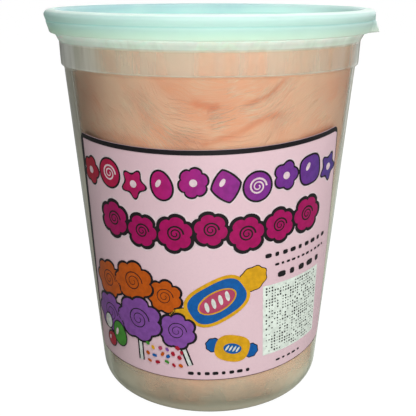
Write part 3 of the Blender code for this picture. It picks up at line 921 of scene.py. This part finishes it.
def makeStrands(body):
    depths = body.data.attributes["depth"].data
    ground = {
        "surface": BVHTree.FromObject(body, bpy.context.evaluated_depsgraph_get()),
        "depths": [depths[face.vertices[0]].value for face in body.data.polygons],
    }
    for name, look in tuftKinds.items():
        dice = random.Random(look["seed"])
        blank = makeBlankTuft("blankTuft", look["hairs"], look["rings"])
        places = [(along * mm / wallRadius(up * mm), up * mm) for along, up in look["gather"]]
        tufts = []
        while len(tufts) < look["tufts"]:
            if len(tufts) < 4 * len(places):
                angle, z = places[len(tufts) % len(places)]
                angle, z = angle + dice.uniform(-0.05, 0.05), z + dice.uniform(-2.0, 2.0) * mm
            else:
                angle, z = dice.uniform(-math.pi, math.pi), dice.uniform(5.0, 131.0) * mm
                if abs(angle) < 0.9 and 20.0 * mm < z < 98.0 * mm:
                    continue
            length = dice.uniform(*look["length"])
            path = combPath(angle - 0.3 * length / wallRadius(z), z, length, dice.uniform(-look["stray"], look["stray"]), 8)
            tufts.append(layTuft(blank, ground, path, look, dice))
        bpy.data.objects.remove(blank)
        strands = joinPieces(tufts, name)
        strands.data.shade_smooth()
        finishPiece(strands, makeStrandMaterial(name, look["root"], look["tip"]), "cotton_candy")


def makeCandy():
    body = spinOutline("flossBody", candyOutline(), candyLook["steps"])
    pressFloss(body)
    shadeSmooth(body, 180)
    finishPiece(body, makeCandyMaterial(), "cotton_candy", "cotton_candy")
    makeStrands(body)
    return body


# ---- label ----

labelLook = {
    "width": 108.4 * mm,
    "height": 86.0 * mm,
    "middleZ": 60.7 * mm,
    "corner": 2.6 * mm,
    "tiltDeg": 1.5,
    "turnDeg": 0.3,
    "off": 0.12 * mm,
    "thick": 0.10 * mm,
    "columns": 110,
    "cornerColumns": 8,
    "rows": 40,
    "paper": (0.72, 0.51, 0.56),
    "paperPale": (0.76, 0.57, 0.61),
    "topBorder": 1.7 * mm,
    "leftBorder": 2.0 * mm,
    "rightBorder": 0.35 * mm,
    "layer": 0.03 * mm,
}


def onWall(across, up, off):
    # rolls a flat place on the label on to the taper, so that straight edges stay straight on paper
    tilt = math.radians(labelLook["tiltDeg"])
    right = across * math.cos(tilt) - up * math.sin(tilt)
    rise = across * math.sin(tilt) + up * math.cos(tilt)
    apexZ = tubLook["heel"] - tubLook["wallFoot"] / math.tan(taper)
    ahead = (labelLook["middleZ"] - apexZ) / math.cos(taper) + rise
    slant = math.hypot(right, ahead)
    angle = math.atan2(right, ahead) / math.sin(taper) + math.radians(labelLook["turnDeg"])
    radius = slant * math.sin(taper) + off * math.cos(taper)
    z = apexZ + slant * math.cos(taper) - off * math.sin(taper)
    return Vector((radius * math.sin(angle), -radius * math.cos(angle), z))


def layerOff(layer):
    return labelLook["off"] + labelLook["thick"] + layer * labelLook["layer"]


def makeLabelMaterial():
    material, tree, shader, coords = startMaterial("pinkLabelPaper")
    mottle = useGroup(tree, softMottle, {"Vector": coords, "Scale": 30.0})["Mask"]
    speck = useGroup(tree, softMottle, {"Vector": coords, "Scale": 1400.0, "Low": 0.4, "High": 0.7})["Mask"]
    color = mixColors(tree, calc(tree, "MULTIPLY", mottle, 0.5), labelLook["paper"], labelLook["paperPale"])
    color = mixColors(tree, calc(tree, "MULTIPLY", speck, 0.10), color, (0.54, 0.38, 0.45))
    tree.links.new(color, shader.inputs["Base Color"])
    shader.inputs["Roughness"].default_value = 0.42
    grain = useGroup(tree, fineGrain, {"Vector": coords, "Scale": 1800.0, "Wave": 0.8})["Height"]
    tree.links.new(bumpFrom(tree, grain, 0.12, 0.08 * mm), shader.inputs["Normal"])
    return material


def makeInkMaterial():
    material, tree, shader, coords = startMaterial("printedInk")
    ink = addNode(tree, "ShaderNodeAttribute", attribute_name="ink").outputs["Color"]
    mottle = useGroup(tree, softMottle, {"Vector": coords, "Scale": 500.0})["Mask"]
    uneven = mixColors(tree, mottle, (0.72, 0.72, 0.72), (0.87, 0.87, 0.87))
    tree.links.new(mixColors(tree, 1.0, ink, uneven, "MULTIPLY"), shader.inputs["Base Color"])
    shader.inputs["Roughness"].default_value = 0.45
    shader.inputs["Specular IOR Level"].default_value = 0.2
    grain = useGroup(tree, fineGrain, {"Vector": coords, "Scale": 1800.0, "Wave": 0.8})["Height"]
    tree.links.new(bumpFrom(tree, grain, 0.10, 0.06 * mm), shader.inputs["Normal"])
    return material


def makeLabelSheet():
    deselectAll()
    cornerColumns, columns = labelLook["cornerColumns"], labelLook["columns"]
    total = columns + 2 * cornerColumns
    bpy.ops.mesh.primitive_grid_add(x_subdivisions=total, y_subdivisions=labelLook["rows"], size=2.0)
    sheet = bpy.context.object
    sheet.name = "labelSheet"
    halfWidth, halfHeight = 0.5 * labelLook["width"], 0.5 * labelLook["height"]
    corner = labelLook["corner"]
    straight = halfWidth - corner
    for vertex in sheet.data.vertices:
        column = (vertex.co.x + 1.0) / 2.0 * total - 0.5 * total
        beyond = abs(column) - 0.5 * columns
        if beyond <= 0.0:
            across, reach = column / (0.5 * columns) * straight, halfHeight
        else:
            turn = 0.5 * math.pi * beyond / cornerColumns
            across = math.copysign(straight + corner * math.sin(turn), column)
            reach = halfHeight - corner * (1.0 - math.cos(turn))
        vertex.co = onWall(across, vertex.co.y * reach, labelLook["off"])
    bpy.ops.object.mode_set(mode="EDIT")
    bpy.ops.mesh.select_all(action="SELECT")
    bpy.ops.mesh.normals_make_consistent(inside=False)
    bpy.ops.object.mode_set(mode="OBJECT")
    middle = min(sheet.data.polygons, key=lambda face: face.center.y)
    if middle.normal.y > 0.0:
        sheet.data.flip_normals()
    paper = sheet.modifiers.new("Paper", "SOLIDIFY")
    paper.thickness = labelLook["thick"]
    paper.offset = 1.0
    applyModifiers(sheet)
    shadeSmooth(sheet, 40)
    finishPiece(sheet, makeLabelMaterial(), "label", "label")
    return sheet


# ---- print on the label: fields of colour and simple shapes ----

inks = {
    "black": (0.012, 0.010, 0.012),
    "halo": (0.87, 0.70, 0.74),
    "red": (0.47, 0.012, 0.035),
    "crimson": (0.50, 0.010, 0.075),
    "magenta": (0.47, 0.010, 0.16),
    "plum": (0.36, 0.020, 0.26),
    "violet": (0.20, 0.035, 0.31),
    "indigo": (0.085, 0.045, 0.27),
    "berry": (0.42, 0.004, 0.12),
    "rose": (0.53, 0.07, 0.15),
    "blue": (0.004, 0.12, 0.42),
    "yellow": (0.80, 0.42, 0.01),
    "orange": (0.60, 0.11, 0.004),
    "purple": (0.26, 0.085, 0.40),
    "green": (0.06, 0.30, 0.03),
    "mint": (0.90, 1.00, 0.90),
    "white": (0.78, 0.82, 0.76),
    "brown": (0.10, 0.05, 0.05),
}

outlines = {
    "disc": lambda turn: 1.0,
    "puff": lambda turn: 0.84 + 0.18 * abs(math.sin(3.0 * turn)) ** 0.6,
    "cloud": lambda turn: 0.80 + 0.22 * abs(math.sin(3.5 * turn + 0.4)) ** 0.6,
    "flower": lambda turn: 0.74 + 0.26 * abs(math.cos(2.5 * turn)) ** 0.8,
    "star": lambda turn: 0.66 + 0.36 * (0.5 + 0.5 * math.cos(5.0 * turn)) ** 1.4,
    "box": lambda turn: (abs(math.cos(turn)) ** 6 + abs(math.sin(turn)) ** 6) ** (-1.0 / 6.0),
    "pebble": lambda turn: (abs(math.cos(turn)) ** 3 + abs(math.sin(turn)) ** 3) ** (-1.0 / 3.0),
    "diamond": lambda turn: (abs(math.cos(turn)) ** 1.3 + abs(math.sin(turn)) ** 1.3) ** (-1.0 / 1.3),
    "drop": lambda turn: 0.74 + 0.30 * (0.5 + 0.5 * math.sin(turn)) ** 5 - 0.03 * math.sin(turn),
    "fan": lambda turn: 0.55 + 0.45 * (0.5 + 0.5 * math.cos(turn)) ** 0.6 * (0.9 + 0.1 * math.cos(9 * turn)),
}


def makeBlankDisc(name, corners, rings):
    # a flat round blank with rings of faces, so that it can lie on the curved wall
    deselectAll()
    bpy.ops.mesh.primitive_circle_add(vertices=corners, radius=1.0, fill_type="NGON")
    blank = bpy.context.object
    blank.name = name
    bpy.ops.object.mode_set(mode="EDIT")
    bpy.ops.mesh.select_mode(type="FACE")
    bpy.ops.mesh.select_all(action="SELECT")
    for _ in range(rings - 1):
        bpy.ops.mesh.inset(thickness=1.0 / rings)
    bpy.ops.mesh.poke()
    bpy.ops.object.mode_set(mode="OBJECT")
    return blank


blankDisc = makeBlankDisc("blankDisc", 48, 5)
blankDot = makeBlankDisc("blankDot", 12, 1)
printLayers = {}


def printBlank(blank, place, size, inkAt, layer, outline="disc", turnDeg=0.0, grow=0.0):
    # lays a blank on the label: place and size in mm on the flat label, ink by name or function
    motif = copyPiece(blank, "motif")
    turn = math.radians(turnDeg)
    shape = outlines[outline]
    attribute = motif.data.attributes.new("ink", "FLOAT_COLOR", "POINT")
    for vertex in motif.data.vertices:
        angle, reach = math.atan2(vertex.co.y, vertex.co.x), math.hypot(vertex.co.x, vertex.co.y)
        stretch = reach * shape(angle)
        x = stretch * math.cos(angle) * size[0] + grow * reach * math.cos(angle)
        y = stretch * math.sin(angle) * size[1] + grow * reach * math.sin(angle)
        across = place[0] + x * math.cos(turn) - y * math.sin(turn)
        up = place[1] + x * math.sin(turn) + y * math.cos(turn)
        color = inkAt(across, up) if callable(inkAt) else inks[inkAt]
        attribute.data[vertex.index].color = (*color, 1.0)
        vertex.co = onWall(across * mm, up * mm, layerOff(layer))
    printLayers.setdefault(layer, []).append(motif)
    return motif


def printMotif(place, size, ink, outline, turnDeg=0.0, line=0.9, halo=0.6, layer=2):
    # a shape with its black outline and a pale halo, in three thin layers
    if halo:
        printBlank(blankDisc, place, size, "halo", layer - 2 + 0.5, outline, turnDeg, line + halo)
    printBlank(blankDisc, place, size, "black", layer, outline, turnDeg, line)
    printBlank(blankDisc, place, size, ink, layer + 1, outline, turnDeg)


def sweepInk(across, up):
    # red at the left through magenta and violet to indigo at the right
    stops = [(-50, "red"), (-34, "crimson"), (-18, "magenta"), (0, "plum"), (24, "violet"), (50, "indigo")]
    for (start, first), (end, second) in zip(stops, stops[1:]):
        if across <= end:
            share = min(max((across - start) / (end - start), 0.0), 1.0)
            return tuple(a + (b - a) * share for a, b in zip(inks[first], inks[second]))
    return inks["indigo"]


def printRibbon(path, width, ink, layer):
    # a band of ink along a path in mm on the flat label; width is a number or one for each point
    deselectAll()
    bpy.ops.mesh.primitive_grid_add(x_subdivisions=len(path) - 1, y_subdivisions=1, size=2.0)
    ribbon = bpy.context.object
    attribute = ribbon.data.attributes.new("ink", "FLOAT_COLOR", "POINT")
    for vertex in ribbon.data.vertices:
        index = round((vertex.co.x + 1.0) / 2.0 * (len(path) - 1))
        before, after = path[max(index - 1, 0)], path[min(index + 1, len(path) - 1)]
        run = math.hypot(after[0] - before[0], after[1] - before[1])
        normal = (-(after[1] - before[1]) / run, (after[0] - before[0]) / run)
        half = 0.5 * (width[index] if isinstance(width, list) else width) * vertex.co.y
        spot = (path[index][0] + normal[0] * half, path[index][1] + normal[1] * half)
        attribute.data[vertex.index].color = (*inks[ink], 1.0)
        vertex.co = onWall(spot[0] * mm, spot[1] * mm, layerOff(layer))
    printLayers.setdefault(layer, []).append(ribbon)


def straightPath(start, end, steps=10):
    return [start, *between(start, end, steps)]


def printBorder():
    # heavy line along the top and down the left, a hairline at the right and at the foot
    halfWidth, halfHeight = 0.5 * labelLook["width"] / mm, 0.5 * labelLook["height"] / mm
    corner, top = labelLook["corner"] / mm, labelLook["topBorder"] / mm
    left, right = labelLook["leftBorder"] / mm, labelLook["rightBorder"] / mm
    edge = 0.08
    path, widths = [], []
    for i in range(25):
        share = i / 24
        width = left * (0.5 + 0.5 * smoothstep(1.6 * share)) * min(1.0, 0.3 + 8.0 * share)
        path.append((-halfWidth + edge + 0.5 * width, -halfHeight + 5.0 + (2.0 * halfHeight - 5.0 - corner) * share))
        widths.append(width)
    for sign, startDeg, endDeg, first, last in ((-1, 180.0, 90.0, left, top), (1, 90.0, 0.0, top, right)):
        for i in range(1, 9):
            turn = math.radians(startDeg + (endDeg - startDeg) * i / 9)
            share = i / 9 if sign < 0 else (i / 9) ** 3
            half = 0.5 * (first + (last - first) * share)
            reach = corner - edge - half
            path.append((sign * (halfWidth - corner) + reach * math.cos(turn),
                         halfHeight - corner + reach * math.sin(turn)))
            widths.append(2.0 * half)
        if sign < 0:
            for i in range(50):
                x = -(halfWidth - corner) + 2.0 * (halfWidth - corner) * i / 49
                path.append((x, halfHeight - edge - 0.5 * top))
                widths.append(top)
    for i in range(25):
        width = max(right * (1.0 - 1.2 * i / 24), 0.10)
        path.append((halfWidth - edge - 0.5 * width, halfHeight - corner - (2.0 * halfHeight - 8.0) * i / 24))
        widths.append(width)
    printRibbon(path, widths, "black", 3)
    foot = -halfHeight + 0.16
    printRibbon(straightPath((-halfWidth + corner, foot), (halfWidth - corner, foot), 50), 0.24, "brown", 3)


def printSwirl(place, size, ink, layer, thick=0.22):
    # a wound candy's spiral, as a narrowing ribbon
    path, widths = [], []
    for i in range(40):
        turn, share = i / 40 * 4.4 * math.pi, i / 40
        reach = size * (1.0 - 0.86 * share)
        path.append((place[0] + reach * math.cos(turn), place[1] + reach * math.sin(turn)))
        widths.append(thick * size * (1.0 - 0.45 * share))
    printRibbon(path, widths, ink, layer)


def printTopRow():
    row = {
        "shapes": ["flower", "disc", "star", "drop", "puff", "diamond", "disc", "flower", "pebble", "star"],
        "width": 96.0, "middle": 30.6, "size": 4.9,
    }
    count = len(row["shapes"])
    for i, shape in enumerate(row["shapes"]):
        across = row["width"] * (i / (count - 1) - 0.5) + 0.5
        up = row["middle"] + 1.3 * math.sin(1.9 * i)
        tall = row["size"] * (1.12 if shape in ("drop", "diamond") else 1.0)
        printMotif((across, up), (row["size"] * 0.95, tall), sweepInk, shape, 14.0 * math.sin(2.7 * i), 0.7, 0.5)
        if shape in ("flower", "puff", "star"):
            printBlank(blankDisc, (across, up), (1.3, 1.3), "halo", 4)
        if shape == "disc":
            printSwirl((across, up), 3.1, "halo", 4)
        if shape in ("pebble", "drop", "diamond"):
            printBlank(blankDisc, (across - 1.2, up + 1.3), (0.8, 1.5), "halo", 4, "disc", -30.0)


def printPuffRow():
    row = {"count": 7, "width": 73.0, "middle": 14.0, "size": 6.0}
    for i in range(row["count"]):
        across = row["width"] * (i / (row["count"] - 1) - 0.5) + 0.5
        up = row["middle"] + 1.3 * math.cos(2.2 * i)
        size = row["size"] * (1.0 - 0.08 * (i % 2))
        printMotif((across, up), (size, size), "berry", "puff", 25.0 * i, 1.3, 0.6)
        printSwirl((across, up), size * 0.5, "black", 4)


def printPuffOnStick(place, size, ink, stickTo, layer=4):
    if stickTo:
        printRibbon(straightPath(place, stickTo, 8), 2.4, "black", layer - 1)
        printRibbon(straightPath(place, stickTo, 8), 1.2, "white", layer - 0.5)
    printMotif(place, size, ink, "cloud", 10.0, 0.9, 0.0, layer)
    printSwirl((place[0], place[1]), 0.55 * size[1], "black", layer + 2, 0.10)


def printPuffs():
    # floss on sticks, the orange ones behind the purple ones
    printPuffOnStick((-16.5, -10.5), (6.2, 6.0), "orange", None, 4)
    printPuffOnStick((-42.0, -10.0), (7.8, 7.0), "orange", None, 5.1)
    printPuffOnStick((-29.0, -7.0), (8.2, 7.4), "orange", None, 6.2)
    printPuffOnStick((-12.5, -23.5), (6.6, 6.6), "purple", (-8.0, -37.0), 7.3)
    printPuffOnStick((-42.5, -24.0), (8.4, 7.6), "purple", None, 8.4)
    printPuffOnStick((-27.5, -21.5), (9.4, 8.4), "purple", (-27.0, -38.0), 9.5)


def printWrappedSweet(place, size, turnDeg, inkBody, inkEnds, inkBand):
    turn = math.radians(turnDeg)
    for sign in (-1, 1):
        spot = (place[0] + sign * 1.30 * size[0] * math.cos(turn), place[1] + sign * 1.30 * size[0] * math.sin(turn))
        facing = turnDeg + (0.0 if sign > 0 else 180.0)
        printMotif(spot, (0.62 * size[0], 0.78 * size[1]), inkEnds, "fan", facing, 0.35, 0.0, 3)
    printBlank(blankDisc, place, size, "yellow", 5, "pebble", turnDeg, 1.3)
    printBlank(blankDisc, place, size, inkBody, 6, "pebble", turnDeg)
    printBlank(blankDisc, place, (0.66 * size[0], 0.52 * size[1]), "yellow", 7, "disc", turnDeg, 0.5)
    printBlank(blankDisc, place, (0.66 * size[0], 0.52 * size[1]), inkBand, 8, "disc", turnDeg)
    for step in (-1.5, -0.5, 0.5, 1.5):
        spot = (place[0] + step * 0.26 * size[0] * math.cos(turn), place[1] + step * 0.26 * size[0] * math.sin(turn))
        printBlank(blankDisc, spot, (0.07 * size[0], 0.30 * size[1]), "white", 9, "disc", turnDeg - 18.0)


def printDotPanel():
    panel = {"middle": (32.0, -22.0), "half": (13.6, 14.0), "pitch": 1.16}
    dice = random.Random(4)
    left, right = panel["middle"][0] - panel["half"][0], panel["middle"][0] + panel["half"][0]
    across = straightPath((left, panel["middle"][1]), (right, panel["middle"][1]), 24)
    printRibbon(across, 2.0 * panel["half"][1], "mint", 2)
    rows = int(2 * 0.93 * panel["half"][1] / panel["pitch"])
    columns = int(2 * 0.93 * panel["half"][0] / panel["pitch"])
    for row in range(rows + 1):
        for column in range(columns + 1):
            x, y = (column - 0.5 * columns) * panel["pitch"], (row - 0.5 * rows) * panel["pitch"]
            size = dice.choice((0.0, 0.0, 0.22, 0.28, 0.34, 0.38))
            if size:
                printBlank(blankDot, (panel["middle"][0] + x, panel["middle"][1] + y), (size, size), "black", 4)


def printSprinkles():
    dice = random.Random(11)
    colors = ["red", "yellow", "green", "blue", "orange", "purple", "rose"]
    spots = []
    for _ in range(600):
        spot = (dice.uniform(-24.5, -10.5), dice.uniform(-38.0, -30.0))
        if all(math.dist(spot, other) > 2.15 for other in spots):
            spots.append(spot)
            size = (dice.uniform(0.75, 1.0), dice.uniform(0.45, 0.75))
            printBlank(blankDot, spot, size, dice.choice(colors), 13, "pebble", dice.uniform(-80, 80))


def printGumdrops():
    drops = {
        "white": ((-44.5, -28.5), (3.0, 3.3), -10.0),
        "green": ((-37.5, -31.5), (4.6, 5.4), 8.0),
        "red": ((-43.0, -35.5), (3.4, 3.2), -12.0),
    }
    for number, (ink, (place, size, turnDeg)) in enumerate(drops.items()):
        printMotif(place, size, ink, "drop", turnDeg, 0.5, 0.0, 14 + 1.1 * number)
        spot = (place[0] - 0.3 * size[0], place[1] + 0.2 * size[1])
        printBlank(blankDot, spot, (0.16 * size[0], 0.32 * size[1]), "halo", 20, "disc", -20.0)


def printMarks():
    # rows of plain dashes where fine print would be: start, end, dashes, height
    rows = [((20.5, 3.4), (48.0, 3.4), 9, 0.80), ((24.0, -0.6), (48.0, -0.6), 11, 0.45),
            ((26.0, -4.8), (44.5, -4.8), 5, 1.10), ((-8.0, -40.2), (12.5, -40.2), 8, 0.65),
            ((25.0, -39.6), (35.5, -39.6), 5, 0.40)]
    for start, end, count, tall in rows:
        pitch = (end[0] - start[0]) / (count - 1)
        for i in range(count):
            wide = pitch * (0.36, 0.22, 0.30)[i % 3]
            printBlank(blankDot, (start[0] + pitch * i, start[1]), (wide, tall), "black", 4, "box")


def makePrint():
    printBorder()
    printTopRow()
    printPuffRow()
    printWrappedSweet((2.0, -11.5), (10.5, 6.6), 30.0, "blue", "yellow", "rose")
    printPuffs()
    printWrappedSweet((7.0, -30.5), (5.0, 4.0), -16.0, "yellow", "blue", "blue")
    printDotPanel()
    printSprinkles()
    printGumdrops()
    printMarks()
    material = makeInkMaterial()
    for number, layer in enumerate(sorted(printLayers)):
        sheet = joinPieces(printLayers[layer], f"printLayer{number:02d}")
        facing = min(sheet.data.polygons, key=lambda face: face.center.y)
        if facing.normal.y > 0.0:
            sheet.data.flip_normals()
        sheet.data.shade_smooth()
        finishPiece(sheet, material, "label")
    for blank in (blankDisc, blankDot):
        bpy.data.objects.remove(blank)


# ---- stage, light and camera ----

def makeStage():
    deselectAll()
    bpy.ops.mesh.primitive_plane_add(size=24.0, location=(0, 0, -0.05 * mm))
    floor = bpy.context.object
    floor.name = "floor"
    material, tree, shader, coords = startMaterial("paleFloor")
    # white to the eye and dim as a bounce, so that the tub isn't lit from below
    away = addNode(tree, "ShaderNodeVectorMath", {0: coords}, operation="LENGTH").outputs["Value"]
    shader.inputs["Base Color"].default_value = (0.06, 0.06, 0.06, 1.0)
    shader.inputs["Roughness"].default_value = 1.0
    shader.inputs["Specular IOR Level"].default_value = 0.0
    shader.inputs["Emission Color"].default_value = (1.0, 1.0, 1.0, 1.0)
    tree.links.new(remap(tree, away, 0.05, 0.35, 0.99, 1.0), shader.inputs["Emission Strength"])
    dim = addNode(tree, "ShaderNodeBsdfDiffuse", {"Color": (0.40, 0.40, 0.38, 1.0)})
    seen = addNode(tree, "ShaderNodeLightPath").outputs["Is Camera Ray"]
    mix = addNode(tree, "ShaderNodeMixShader", {0: seen})
    tree.links.new(dim.outputs[0], mix.inputs[1])
    tree.links.new(shader.outputs[0], mix.inputs[2])
    tree.links.new(mix.outputs[0], tree.nodes["Material Output"].inputs["Surface"])
    floor.data.materials.append(material)


def addSoftbox(name, turnDeg, riseDeg, distance, size, watts, color=(1.0, 1.0, 1.0)):
    # turnDeg goes from the front to the right, riseDeg up from level
    light = bpy.data.lights.new(name, "AREA")
    light.size = size
    light.energy = watts
    light.color = color
    lamp = bpy.data.objects.new(name, light)
    bpy.context.scene.collection.objects.link(lamp)
    turn, rise = math.radians(turnDeg), math.radians(riseDeg)
    aim = Vector((0.0, 0.0, 0.08))
    outward = Vector((math.sin(turn) * math.cos(rise), -math.cos(turn) * math.cos(rise), math.sin(rise)))
    lamp.location = aim + outward * distance
    lamp.rotation_euler = (-outward).to_track_quat("-Z", "Y").to_euler()


def makeLights():
    scene = bpy.context.scene
    scene.view_settings.view_transform = "Standard"
    world = bpy.data.worlds.new("studio")
    world.use_nodes = True
    background = world.node_tree.nodes["Background"]
    background.inputs["Color"].default_value = (1.0, 1.0, 1.0, 1.0)
    seen = addNode(world.node_tree, "ShaderNodeLightPath").outputs["Is Camera Ray"]
    world.node_tree.links.new(remap(world.node_tree, seen, 0.0, 1.0, 0.02, 1.0), background.inputs["Strength"])
    scene.world = world
    addSoftbox("keyAbove", 4.0, 50.0, 0.9, 0.3, 1.7)
    addSoftbox("keyRight", 17.0, 50.0, 0.9, 0.3, 4.0)
    addSoftbox("fillLow", 9.0, 6.0, 0.9, 0.3, 3.6)
    addSoftbox("sideRight", 110.0, 25.0, 0.9, 0.5, 2.1)
    addSoftbox("rimRight", 150.0, 15.0, 0.9, 0.4, 1.3)
    addSoftbox("rimLeft", -150.0, 10.0, 0.9, 0.4, 0.5)
    addSoftbox("backFill", 180.0, 15.0, 0.9, 0.4, 1.6)
    addSoftbox("overhead", 180.0, 72.0, 0.9, 0.3, 1.6)


def makeCamera():
    camera = bpy.data.cameras.new("camera")
    camera.lens = 69.4
    camera.sensor_width = 36.0
    viewer = bpy.data.objects.new("camera", camera)
    bpy.context.scene.collection.objects.link(viewer)
    viewer.location = (-0.60 * mm, -303.4 * mm, 156.1 * mm)
    viewer.rotation_euler = (math.radians(90.0 - 15.93), 0, 0)
    bpy.context.scene.camera = viewer


makeCamera()
makeTub()
print("tub done")
makeLid()
print("lid done")
makeCandy()
print("candy done")
makeLabelSheet()
makePrint()
print("label done")
print("stage next")
makeStage()
makeLights()
